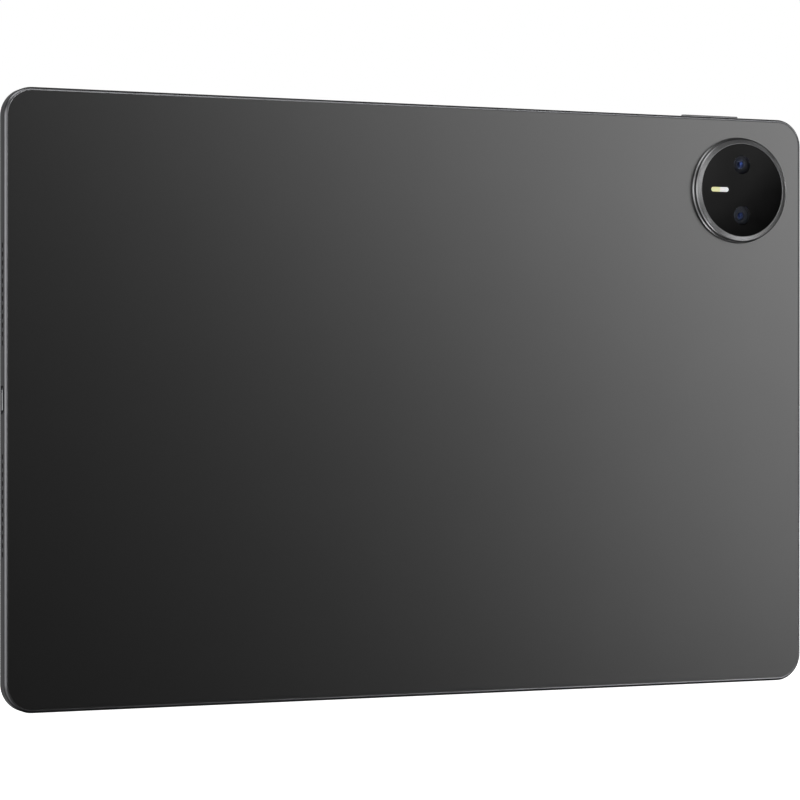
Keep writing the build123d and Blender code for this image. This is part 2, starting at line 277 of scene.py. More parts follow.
@dataclass(frozen=True)
class TurnedAluminium:
    """Aluminium ring cut on a lathe and anodised mid grey.

    The tool leaves fine concentric lines, so highlights stretch round the ring as bright arcs.
    """

    name: str
    dark: str
    light: str
    roughness: float
    centre: tuple[float, float]
    line_mm: float = 0.09
    speckle_mm: float = 0.3
    relief_mm: float = 0.01

    def build(self) -> Material:
        """Make the material."""
        material, shader = new_surface(self.name, {"Metallic": 1.0})
        tree = material.node_tree
        offset = (-self.centre[0] * MM, 0.0, -self.centre[1] * MM)
        centred = add_node(tree, "ShaderNodeMapping", {"Location": offset, "Vector": own_place(tree)})
        rings = {"wave_type": "RINGS", "rings_direction": "Y", "Distortion": 0.4, "Detail": 1.0}
        lines = tooling_lines(tree, self.line_mm, {**rings, "Vector": centred.outputs["Vector"]})
        speckle = grain(tree, self.speckle_mm)
        feed(shader, {
            "Base Color": blend_colours(tree, speckle, self.dark, self.light),
            "Roughness": between(tree, speckle, self.roughness - 0.05, self.roughness + 0.05),
            "Normal": raise_grain(tree, lines, 0.12, self.relief_mm),
        })
        return material


@dataclass(frozen=True)
class PrintedGlass:
    """Strengthened glass printed black on its inner side and polished outside.

    The print gives deep black, and the polish gives one clean reflection with faint finger haze.
    """

    name: str
    ink: str
    haze: str
    roughness: float
    level: float
    haze_mm: float = 18.0

    def build(self) -> Material:
        """Make the material."""
        material, shader = new_surface(self.name, {"IOR": 1.5, "Specular IOR Level": self.level})
        tree = material.node_tree
        haze = grain(tree, self.haze_mm, 3.0)
        feed(shader, {
            "Base Color": blend_colours(tree, haze, self.ink, self.haze),
            "Roughness": between(tree, haze, self.roughness * 0.8, self.roughness * 1.4),
        })
        return material


@dataclass(frozen=True)
class ScreenGlass:
    """Strengthened cover glass, optically bonded to a switched-off display inside a printed border.

    The border is the deepest black. The display behind the glass returns a little cool grey, so its
    edge just shows in strong light.
    """

    name: str
    border: str
    display: str
    roughness: float
    window: tuple[float, float]
    middle_mm: float
    edge_mm: float = 0.1
    haze_mm: float = 22.0

    def build(self) -> Material:
        """Make the material."""
        material, shader = new_surface(self.name, {"IOR": 1.5})
        tree = material.node_tree
        inside = []
        for axis, middle, size in (("X", 0.0, self.window[0]), ("Z", self.middle_mm, self.window[1])):
            away = compute(tree, "ABSOLUTE", compute(tree, "SUBTRACT", own_axis(tree, axis), middle * MM))
            start, end = size / 2 * MM, (size / 2 + self.edge_mm) * MM
            inside.append(stretch(tree, away, start, end, 1.0, 0.0))
        both = compute(tree, "MULTIPLY", *inside)
        haze = grain(tree, self.haze_mm, 3.0)
        feed(shader, {
            "Base Color": blend_colours(tree, both, self.border, self.display),
            "Roughness": between(tree, haze, self.roughness * 0.6, self.roughness * 1.6),
        })
        return material


@dataclass(frozen=True)
class CoatedLens:
    """Ground lens glass with a vacuum-deposited anti-reflection coating.

    The coating kills most of the white reflection and leaves a deep blue to violet one.
    The base colour also turns from deep navy face-on to brighter blue at grazing angles, which is a painted
    blue reflection.
    """

    name: str
    deep: str
    # rim is the base colour at grazing angles, a painted blue reflection of the coating
    rim: str
    coating: str = "#a8c4ff"

    def build(self) -> Material:
        """Make the material."""
        values = {"IOR": 1.6, "Roughness": 0.05, "Specular IOR Level": 0.3}
        material, shader = new_surface(self.name, {**values, "Specular Tint": linear(self.coating)})
        tree = material.node_tree
        # Base colour goes from deep to rim towards grazing angles: a painted blue reflection
        facing = add_node(tree, "ShaderNodeLayerWeight", {"Blend": 0.35}).outputs["Facing"]
        feed(shader, {"Base Color": blend_colours(tree, facing, self.deep, self.rim)})
        return material


@dataclass(frozen=True)
class ClearGlass:
    """Thin polished window with nothing printed behind it."""

    name: str
    tint: str
    smear_mm: float = 2.0

    def build(self) -> Material:
        """Make the material."""
        material, shader = new_surface(self.name, {"IOR": 1.12, "Transmission Weight": 1.0})
        tree = material.node_tree
        smear = grain(tree, self.smear_mm)
        feed(shader, {
            "Base Color": blend_colours(tree, smear, self.tint, "#ffffff"),
            "Roughness": between(tree, smear, 0.0, 0.004),
        })
        return material


@dataclass(frozen=True)
class FlashWindow:
    """Frosted clear plastic over two light chips, one with warm phosphor and one with white.

    Unlit, the warm half looks pale yellow and the other half white, with a soft seam between.
    Both halves also carry a faint painted glow in their own colours, though the flash is off.
    """

    name: str
    warm: str
    white: str
    seam_mm: float
    soft_mm: float = 0.15
    line_mm: float = 0.2
    scatter_mm: float = 0.4
    relief_mm: float = 0.03

    def build(self) -> Material:
        """Make the material."""
        # Emission Strength gives the window a faint painted glow, though the flash is off
        values = {"IOR": 1.49, "Roughness": 0.35, "Subsurface Weight": 0.2, "Emission Strength": 0.25}
        material, shader = new_surface(self.name, {**values, "Subsurface Scale": self.scatter_mm * MM})
        tree = material.node_tree
        start, end = (self.seam_mm - self.soft_mm) * MM, (self.seam_mm + self.soft_mm) * MM
        side = stretch(tree, own_axis(tree, "X"), start, end)
        colour = blend_colours(tree, side, self.white, self.warm)
        lines = tooling_lines(tree, self.line_mm, {"bands_direction": "X", "Vector": own_place(tree)})
        normal = raise_grain(tree, lines, 0.15, self.relief_mm)
        # The emission colour is that painted glow, in the window's own colours
        feed(shader, {"Base Color": colour, "Emission Color": colour, "Normal": normal})
        return material


@dataclass(frozen=True)
class MouldedPart:
    """Moulded, laminated or film part: even colour, a fine matte grain and a little variation."""

    name: str
    dark: str
    light: str
    roughness: float
    grain_mm: float = 0.2
    metallic: float = 0.0
    relief: float = 0.12
    relief_mm: float = 0.02

    def build(self) -> Material:
        """Make the material."""
        material, shader = new_surface(self.name, {"Metallic": self.metallic})
        tree = material.node_tree
        fine = grain(tree, self.grain_mm)
        feed(shader, {
            "Base Color": blend_colours(tree, fine, self.dark, self.light),
            "Roughness": between(tree, fine, self.roughness - 0.04, self.roughness + 0.04),
            "Normal": raise_grain(tree, fine, self.relief, self.relief_mm),
        })
        return material


# ---------------------------------------------------------------- mesh making


def rounded_outline(width: float, height: float, radius: float, steps: int = 14) -> Outline:
    """Corners of a rounded rectangle, anticlockwise from the lower right, about its centre.

    Args:
        width: full width in millimetres.
        height: full height in millimetres.
        radius: corner radius in millimetres.
        steps: segments in each corner.

    Returns:
        The points, in millimetres.
    """
    points: Outline = []
    corners = ((1, -1, -90.0), (1, 1, 0.0), (-1, 1, 90.0), (-1, -1, 180.0))
    for sign_x, sign_z, start in corners:
        centre = (sign_x * (width / 2 - radius), sign_z * (height / 2 - radius))
        for step in range(steps + 1):
            angle = math.radians(start + 90.0 * step / steps)
            points.append((centre[0] + radius * math.cos(angle), centre[1] + radius * math.sin(angle)))
    return points


def circle_outline(radius: float, steps: int, fullness: float = 0.999) -> Outline:
    """Circle as a rounded square, whose sides are what its corners leave over."""
    return rounded_outline(2 * radius, 2 * radius, radius * fullness, steps)


def quarter_round(steps: int, first: int = 0) -> Iterator[tuple[float, float]]:
    """Sine and cosine at even steps through a right angle, from a first step on."""
    for step in range(first, steps + 1):
        angle = math.pi / 2 * step / steps
        yield math.sin(angle), math.cos(angle)


def soften(profile: Profile, size: float, steps: int = 4) -> Outline:
    """Round every corner of a closed profile.

    Args:
        profile: the sharp profile, in millimetres.
        size: how far from each corner the rounding starts, at most.
        steps: segments in each rounded corner.

    Returns:
        The rounded profile, in millimetres.
    """
    points: Outline = []
    count = len(profile)
    for index, corner in enumerate(profile):
        here = Vector(corner)
        before = Vector(profile[index - 1])
        after = Vector(profile[(index + 1) % count])
        if (before - here).length < 1e-6 or (after - here).length < 1e-6:
            continue
        reach = min(size, 0.45 * (before - here).length, 0.45 * (after - here).length)
        start = here + (before - here).normalized() * reach
        end = here + (after - here).normalized() * reach
        for step in range(steps + 1):
            t = step / steps
            point = start * (1 - t) ** 2 + here * 2 * t * (1 - t) + end * t**2
            points.append((point.x, point.y))
    return points


def loft(loops: Sequence[Sequence[Vector]], closed: bool = False, capped: bool = True) -> Skin:
    """Join loops of equal length into one skin.

    Args:
        loops: the loops, in order along the skin.
        closed: whether the last loop joins the first.
        capped: whether the end loops are filled.

    Returns:
        The skin, with its faces pointing outwards.
    """
    skin = bmesh.new()
    rings = [[skin.verts.new(point) for point in loop] for loop in loops]
    size = len(rings[0])
    pairs = list(zip(rings, rings[1:]))
    if closed:
        pairs.append((rings[-1], rings[0]))
    for ring, following in pairs:
        for i in range(size):
            j = (i + 1) % size
            skin.faces.new((ring[i], ring[j], following[j], following[i]))
    if capped and not closed:
        skin.faces.new(list(reversed(rings[0])))
        skin.faces.new(rings[-1])
    bmesh.ops.remove_doubles(skin, verts=skin.verts, dist=1e-8)
    bmesh.ops.recalc_face_normals(skin, faces=skin.faces)
    return skin


def lathe(profile: Profile, centre: tuple[float, float], segments: int = 192) -> Skin:
    """Turn a closed profile about an axis square to the rear cover.

    Args:
        profile: points of radius and depth, in millimetres.
        centre: the axis's place along the tablet and its height, in millimetres.
        segments: how many steps make the circle.

    Returns:
        The turned skin.
    """
    loops = []
    for radius, depth in profile:
        loop = []
        for step in range(segments):
            angle = math.tau * step / segments
            x = centre[0] + radius * math.cos(angle)
            z = centre[1] + radius * math.sin(angle)
            loop.append(Vector((x, depth, z)) * MM)
        loops.append(loop)
    skin = loft(loops, closed=True)
    loose = [face for face in skin.faces if face.calc_area() < 1e-14]
    bmesh.ops.delete(skin, geom=loose, context="FACES")
    return skin


def standing_loop(outline: Outline, depth: float, centre: tuple[float, float]) -> list[Vector]:
    """Place an outline upright, parallel to the cover, at a depth, all in millimetres."""
    return [Vector((centre[0] + x, depth, centre[1] + z)) * MM for x, z in outline]


def pierced_plate(
    outline: Outline,
    centre: tuple[float, float],
    front: float,
    rear: float,
    edge: float,
    holes: Sequence[list[Vector]],
) -> Skin:
    """Flat plate with softened rims and holes right through it.

    Args:
        outline: the plate's outline about its centre, in millimetres.
        centre: the plate's centre, in millimetres.
        front: depth of the side towards the screen.
        rear: depth of the other side.
        edge: width of the softened rear rim, outside and round each hole.
        holes: each hole's loop at depth 0, in metres.

    Returns:
        The plate.
    """
    plate = bmesh.new()
    lift = Vector((0.0, MM, 0.0))

    def add_loop(points: Iterable[Vector]) -> list[bmesh.types.BMVert]:
        return [plate.verts.new(point) for point in points]

    def wall(first: list[bmesh.types.BMVert], second: list[bmesh.types.BMVert]) -> None:
        for i in range(len(first)):
            j = (i + 1) % len(first)
            plate.faces.new((first[i], first[j], second[j], second[i]))

    def rim_edges(ring: list[bmesh.types.BMVert]) -> list[bmesh.types.BMEdge]:
        return [plate.edges.get((ring[i - 1], ring[i])) for i in range(len(ring))]

    middle = Vector((centre[0], 0.0, centre[1])) * MM
    flat = standing_loop(outline, 0.0, centre)
    shrunk = [point + (middle - point).normalized() * edge * MM for point in flat]
    rims = [flat, flat, shrunk]
    depths = [front, rear - edge, rear]
    rings = [add_loop(p + lift * depth for p in rim) for rim, depth in zip(rims, depths)]
    wall(rings[0], rings[1])
    wall(rings[1], rings[2])
    front_edges, rear_edges = rim_edges(rings[0]), rim_edges(rings[2])
    for hole in holes:
        core = sum(hole, Vector()) / len(hole)
        widened = [p + (p - core).normalized() * edge * MM for p in hole]
        low = add_loop(p + lift * front for p in hole)
        neck = add_loop(p + lift * (rear - edge) for p in hole)
        high = add_loop(p + lift * rear for p in widened)
        wall(low, neck)
        wall(neck, high)
        front_edges += rim_edges(low)
        rear_edges += rim_edges(high)
    for edges in (front_edges, rear_edges):
        bmesh.ops.triangle_fill(plate, edges=edges, use_beauty=True, use_dissolve=False)
    bmesh.ops.recalc_face_normals(plate, faces=plate.faces)
    return plate


def rounded_block(size: tuple[float, float, float], centre: tuple[float, float, float], edge: float,
                  steps: int = 3) -> Skin:
    """Box with softened edges, in millimetres.

    Args:
        size: full size along X, Y and Z.
        centre: the box's centre.
        edge: width of the softened edges.
        steps: segments across each edge.

    Returns:
        The box.
    """
    box = bmesh.new()
    bmesh.ops.create_cube(box, size=1.0)
    bmesh.ops.scale(box, vec=Vector(size) * MM, verts=box.verts)
    bmesh.ops.translate(box, vec=Vector(centre) * MM, verts=box.verts)
    if edge > 0:
        bmesh.ops.bevel(box, geom=box.edges[:], offset=edge * MM, segments=steps, profile=0.5, affect="EDGES")
    return box


def to_object(skin: Skin, name: str) -> bpy.types.Object:
    """Turn a skin into a linked object of that name."""
    mesh = bpy.data.meshes.new(name)
    skin.to_mesh(mesh)
    skin.free()
    piece = bpy.data.objects.new(name, mesh)
    bpy.context.scene.collection.objects.link(piece)
    return piece


def join_skins(skins: Sequence[Skin]) -> Skin:
    """Put several separate skins into the first one."""
    whole = skins[0]
    for skin in skins[1:]:
        spare = bpy.data.meshes.new("spare")
        skin.to_mesh(spare)
        skin.free()
        whole.from_mesh(spare)
        bpy.data.meshes.remove(spare)
    return whole


def bake_modifiers(piece: bpy.types.Object) -> None:
    """Replace a piece's mesh by what its modifiers make of it, and drop them."""
    graph = bpy.context.evaluated_depsgraph_get()
    mesh = bpy.data.meshes.new_from_object(piece.evaluated_get(graph), depsgraph=graph)
    old = piece.data
    piece.modifiers.clear()
    piece.data = mesh
    bpy.data.meshes.remove(old)


def shade(piece: bpy.types.Object) -> None:
    """Smooth a piece, keep its real corners, and let its flat faces stay flat."""
    mesh = piece.data
    mesh.polygons.foreach_set("use_smooth", [True] * len(mesh.polygons))
    mesh.set_sharp_from_angle(angle=SHARP_ANGLE)
    weighted = piece.modifiers.new("flat_faces", "WEIGHTED_NORMAL")
    weighted.keep_sharp = True
    weighted.weight = 80
    bake_modifiers(piece)


def run_tree(piece: bpy.types.Object, tree: Tree, values: dict[str, object]) -> None:
    """Run a Geometry Nodes tree on a piece and keep the result as its plain mesh.

    Args:
        piece: the object that the tree starts from.
        tree: the tree.
        values: the tree's inputs, by name.
    """
    modifier = piece.modifiers.new("tree", "NODES")
    modifier.node_group = tree
    for item in tree.interface.items_tree:
        if item.item_type == "SOCKET" and item.in_out == "INPUT" and item.name in values:
            modifier[item.identifier] = values[item.name]
    bake_modifiers(piece)


def new_tree(name: str, **inputs: str) -> tuple[Tree, bpy.types.NodeOutputs]:
    """Start a Geometry Nodes tree that takes a geometry, its own inputs and a material.

    Args:
        name: the tree's name.
        inputs: the kind of each input of its own, by name with underscores for spaces.

    Returns:
        The tree and the sockets of its inputs.
    """
    tree = bpy.data.node_groups.new(name, "GeometryNodeTree")
    tree.interface.new_socket("Geometry", in_out="INPUT", socket_type="NodeSocketGeometry")
    for socket, kind in (*inputs.items(), ("Material", "Material")):
        tree.interface.new_socket(socket.replace("_", " "), in_out="INPUT", socket_type="NodeSocket" + kind)
    tree.interface.new_socket("Geometry", in_out="OUTPUT", socket_type="NodeSocketGeometry")
    return tree, add_node(tree, "NodeGroupInput", {}).outputs


def end_tree(tree: Tree, geometry: Socket, material: Socket) -> None:
    """Finish a tree with real geometry and its material."""
    real = add_node(tree, "GeometryNodeRealizeInstances", {"Geometry": geometry})
    painted = add_node(tree, "GeometryNodeSetMaterial", {"Geometry": real.outputs[0], "Material": material})
    add_node(tree, "NodeGroupOutput", {"Geometry": painted.outputs["Geometry"]})


def shape_of(tree: Tree, holder: Socket) -> Socket:
    """Geometry of the object that an input holds."""
    return add_node(tree, "GeometryNodeObjectInfo", {"Object": holder}).outputs["Geometry"]


def line_of(tree: Tree, count: Socket, start: Socket, step: Socket) -> Socket:
    """Row of points with a step between them."""
    values = {"mode": "OFFSET", "Count": count, "Start Location": start, "Offset": step}
    return add_node(tree, "GeometryNodeMeshLine", values).outputs["Mesh"]


def repeat(tree: Tree, points: Socket, shape: Socket, values: Inputs | None = None) -> Socket:
    """Put a shape on every point."""
    given = {"Points": points, "Instance": shape, **(values or {})}
    return add_node(tree, "GeometryNodeInstanceOnPoints", given).outputs["Instances"]


def move(tree: Tree, geometry: Socket, values: Inputs) -> Socket:
    """Move or turn a geometry."""
    return add_node(tree, "GeometryNodeTransform", {"Geometry": geometry, **values}).outputs["Geometry"]


def join(tree: Tree, shapes: Sequence[Socket]) -> Socket:
    """Join several geometries."""
    whole = add_node(tree, "GeometryNodeJoinGeometry", {})
    for shape in shapes:
        feed(whole, {"Geometry": shape})
    return whole.outputs["Geometry"]


def place_piece(
    piece: bpy.types.Object,
    material: Material,
    body: Body = Body.TABLET,
    stands_for: Sequence[str] = (),
) -> None:
    """Dress a finished piece, hang it on its body and hide the CAD nodes that it replaces.

    Args:
        piece: the piece, with its place in its mesh.
        material: its material.
        body: the body that it rides on.
        stands_for: the CAD nodes that it replaces.
    """
    piece.data.materials.clear()
    piece.data.materials.append(material)
    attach(piece, body.value)
    if stands_for:
        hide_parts(*stands_for)
    LOG.info("%s: %d faces on %s", piece.name, len(piece.data.polygons), body.value)


def make_piece(
    skin: Skin,
    name: str,
    material: Material,
    body: Body = Body.TABLET,
    stands_for: Sequence[str] = (),
) -> None:
    """Turn a skin into a smooth, dressed piece of that name, and hang it on its body."""
    piece = to_object(skin, name)
    shade(piece)
    place_piece(piece, material, body, stands_for)


# ---------------------------------------------------------------- sub-assemblies


@dataclass(frozen=True)
class Place:
    """Box that a CAD node fills at rest, in millimetres."""

    low: Vector
    high: Vector

    @classmethod
    def of(cls, node: str) -> Place:
        """Measure a CAD node."""
        low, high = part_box(node)
        return cls(low / MM, high / MM)

    @property
    def centre(self) -> Vector:
        """Middle of the box."""
        return (self.low + self.high) / 2

    @property
    def size(self) -> Vector:
        """Full size of the box."""
        return self.high - self.low


@dataclass
class BodyShell:
    """Milled frame, rear cover and cover glass, which make the slab's outside."""

    corner_radius: float = 9.2
    rear_round: float = 1.0
    front_round: float = 0.6
    glass_recess: float = 0.85
    glass_inset: float = 0.90
    glass_round: float = 0.25
    display_bay: float = 2.0
    display_ledge: float = -2.05
    plate_front: float = -1.60
    plate_rear: float = -1.10
    cover_recess: float = 1.05
    cover_inset: float = 1.09
    cover_edge: float = 0.05
    cover_ledge: float = 2.0
    wall: float = 2.4
    cover_hole: float = 17.1
    grille_slots: int = 12
    grille_pitch: float = 2.777
    grille_offset: float = 33.05
    slot_length: float = 1.75
    slot_width: float = 0.95
    slot_depth: float = 0.45
    key_thickness: float = 2.1
    key_gap: float = 0.12
    volume_length: float = 22.0
    volume_pocket: float = 25.2
    power_length: float = 14.0
    power_pocket: float = 17.2
    port_length: float = 9.1
    port_width: float = 3.2
    pocket: float = 2.8
    microphones: tuple[float, float] = (-92.0, 60.0)
    microphone_radius: float = 0.45

    def __post_init__(self) -> None:
        """Measure the slab from its CAD frame."""
        self.whole = Place.of("mid_frame")

    def outline(self, inset: float, depth: float) -> list[Vector]:
        """The slab's outline, moved inwards, at a depth."""
        size = self.whole.size
        flat = rounded_outline(size.x - 2 * inset, size.z - 2 * inset, self.corner_radius - inset, 16)
        return standing_loop(flat, depth, (0.0, self.whole.centre.z))

    def wall_profile(self) -> Outline:
        """Section of the frame as inset and depth, from the display bay round to the inside."""
        front, rear = self.whole.low.y, self.whole.high.y
        lip = 0.03
        profile: Outline = [
            (self.display_bay, self.plate_front),
            (self.display_bay, self.display_ledge),
            (self.glass_recess, self.display_ledge),
            (self.glass_recess, front + lip),
            (self.glass_recess - lip, front),
        ]
        for sine, cosine in quarter_round(10):
            profile.append((self.front_round * (1 - sine), front + self.front_round * (1 - cosine)))
        for sine, cosine in quarter_round(10):
            profile.append((self.rear_round * (1 - cosine), rear - self.rear_round * (1 - sine)))
        profile += [
            (self.cover_recess - lip / 2, rear),
            (self.cover_recess, rear - lip),
            (self.cover_recess, self.cover_ledge),
            (self.wall, self.cover_ledge),
            (self.wall, self.plate_rear),
        ]
        return profile

    def grille_cutter(self) -> bpy.types.Object:
        """One speaker slot's cutter, at the origin, right through a short wall."""
        outline = rounded_outline(self.slot_width, self.slot_length, self.slot_width * 0.499, 6)
        reach = self.wall * 1.5
        loops = [[Vector((side * reach, y, z)) * MM for y, z in outline] for side in (-1, 1)]
        return to_object(loft(loops), "grille_cutter")

    def opening_cutter(self) -> bpy.types.Object:
        """Cutters for the keys, the port and the microphones, with their pockets."""
        whole = self.whole
        half = whole.size.x / 2
        skins = []
        volume, power, shell = (Place.of(n) for n in ("volume_rocker", "power_button", "usb_shell"))
        key_width = self.key_thickness + 2 * self.key_gap
        deep_y = (self.plate_front - 0.02 + self.cover_ledge) / 2
        deep = self.cover_ledge - self.plate_front + 0.04

        def through(outline: Outline, along_x: bool, at: Vector, reach: float) -> Skin:
            loops = []
            for sign in (-1, 1):
                if along_x:
                    loops.append([Vector((at.x + sign * reach, at.y + y, at.z + z)) * MM for z, y in outline])
                else:
                    loops.append([Vector((at.x + x, at.y + y, at.z + sign * reach)) * MM for x, y in outline])
            return loft(loops)

        top = whole.high.z
        key_outline = rounded_outline(self.volume_length + 2 * self.key_gap, key_width, key_width * 0.45, 8)
        skins.append(through(key_outline, False, Vector((volume.centre.x, 0, top)), self.wall + 0.1))
        flange = (self.volume_pocket, deep, self.pocket)
        at = (volume.centre.x, deep_y, top - self.wall - self.pocket / 2)
        skins.append(rounded_block(flange, at, 0))
        button_slot = self.power_length + 2 * self.key_gap
        button_outline = rounded_outline(button_slot, key_width, key_width * 0.499, 8)
        skins.append(through(button_outline, True, Vector((-half, 0, power.centre.z)), self.wall + 0.1))
        at = (-half + self.wall + self.pocket / 2, deep_y, power.centre.z)
        skins.append(rounded_block((self.pocket, deep, self.power_pocket), at, 0))
        port_outline = rounded_outline(self.port_length, self.port_width, self.port_width / 2 - 0.001, 12)
        skins.append(through(port_outline, True, Vector((half, 0, shell.centre.z)), self.wall + 0.1))
        port_depth = shell.size.x + 1.0
        at = (half - self.wall - port_depth / 2, deep_y, shell.centre.z)
        skins.append(rounded_block((port_depth, deep, shell.size.z + 1.0), at, 0))
        for x in self.microphones:
            hole = circle_outline(self.microphone_radius, 8)
            skins.append(through(hole, False, Vector((x, 0, top)), self.wall + 0.1))
        return to_object(join_skins(skins), "opening_cutter")

    def perforation_tree(self) -> Tree:
        """Tree that cuts four rows of slots, and the other openings, out of the frame."""
        tree, given = new_tree(
            "frame_openings",
            Slot="Object",
            Openings="Object",
            Slots_in_a_row="Int",
            Row_start="Vector",
            Row_step="Vector",
            Between_walls="Float",
            Between_rows="Float",
            Middle="Vector",
        )
        line = line_of(tree, given["Slots in a row"], given["Row start"], given["Row step"])
        row = repeat(tree, line, shape_of(tree, given["Slot"]))
        sides = {"Size X": given["Between walls"], "Size Y": given["Between rows"]}
        corners = add_node(tree, "GeometryNodeMeshGrid", {"Vertices X": 2, "Vertices Y": 2, **sides})
        upright = {"Rotation": (math.pi / 2, 0.0, 0.0), "Translation": given["Middle"]}
        rows = repeat(tree, move(tree, corners.outputs["Mesh"], upright), row)
        real = add_node(tree, "GeometryNodeRealizeInstances", {"Geometry": rows})
        cut = add_node(tree, "GeometryNodeMeshBoolean", {"operation": "DIFFERENCE", "solver": "EXACT"})
        feed(cut, {"Self Intersection": True, "Mesh 1": given["Geometry"]})
        for cutter in (real.outputs["Geometry"], shape_of(tree, given["Openings"])):
            feed(cut, {"Mesh 2": cutter})
        end_tree(tree, cut.outputs["Mesh"], given["Material"])
        return tree

    def build_frame(self, metal: Material) -> None:
        """Make the frame with every opening cut through its wall."""
        skin = loft([self.outline(inset, depth) for inset, depth in self.wall_profile()])
        shell = to_object(skin, "frame_shell")
        cutters = (self.grille_cutter(), self.opening_cutter())
        values = {
            "Slot": cutters[0],
            "Openings": cutters[1],
            "Slots in a row": self.grille_slots,
            "Row start": (0.0, 0.0, -self.grille_pitch * (self.grille_slots - 1) / 2 * MM),
            "Row step": (0.0, 0.0, self.grille_pitch * MM),
            "Between walls": self.whole.size.x * MM,
            "Between rows": 2 * self.grille_offset * MM,
            "Middle": (0.0, self.slot_depth * MM, self.whole.centre.z * MM),
            "Material": metal,
        }
        run_tree(shell, self.perforation_tree(), values)
        for cutter in cutters:
            bpy.data.objects.remove(cutter)
        shade(shell)
        place_piece(shell, metal, stands_for=["mid_frame"])

    def build_cover(self, metal: Material) -> None:
        """Make the rear cover, a thin sheet with one round hole."""
        cover = Place.of("rear_cover")
        ring = Place.of("camera_ring").centre
        flat = rounded_outline(cover.size.x, cover.size.z, self.corner_radius - self.cover_inset, 16)
        hole = standing_loop(circle_outline(self.cover_hole, 24, 0.9999), 0.0, (ring.x, ring.z))
        centre = (cover.centre.x, cover.centre.z)
        plate = pierced_plate(flat, centre, cover.low.y, cover.high.y, self.cover_edge, [hole])
        make_piece(plate, "rear_cover_sheet", metal, stands_for=["rear_cover"])

    def build_glass(self, glass: Material) -> None:
        """Make the cover glass with its rounded rim."""
        pane = Place.of("cover_glass")
        profile = [(self.glass_inset, pane.high.y), (self.glass_inset, pane.low.y + self.glass_round)]
        for sine, cosine in quarter_round(6, 1):
            inset = self.glass_inset + self.glass_round * (1 - cosine)
            profile.append((inset, pane.low.y + self.glass_round * (1 - sine)))
        skin = loft([self.outline(inset, depth) for inset, depth in profile])
        make_piece(skin, "screen_glass", glass, stands_for=["cover_glass"])


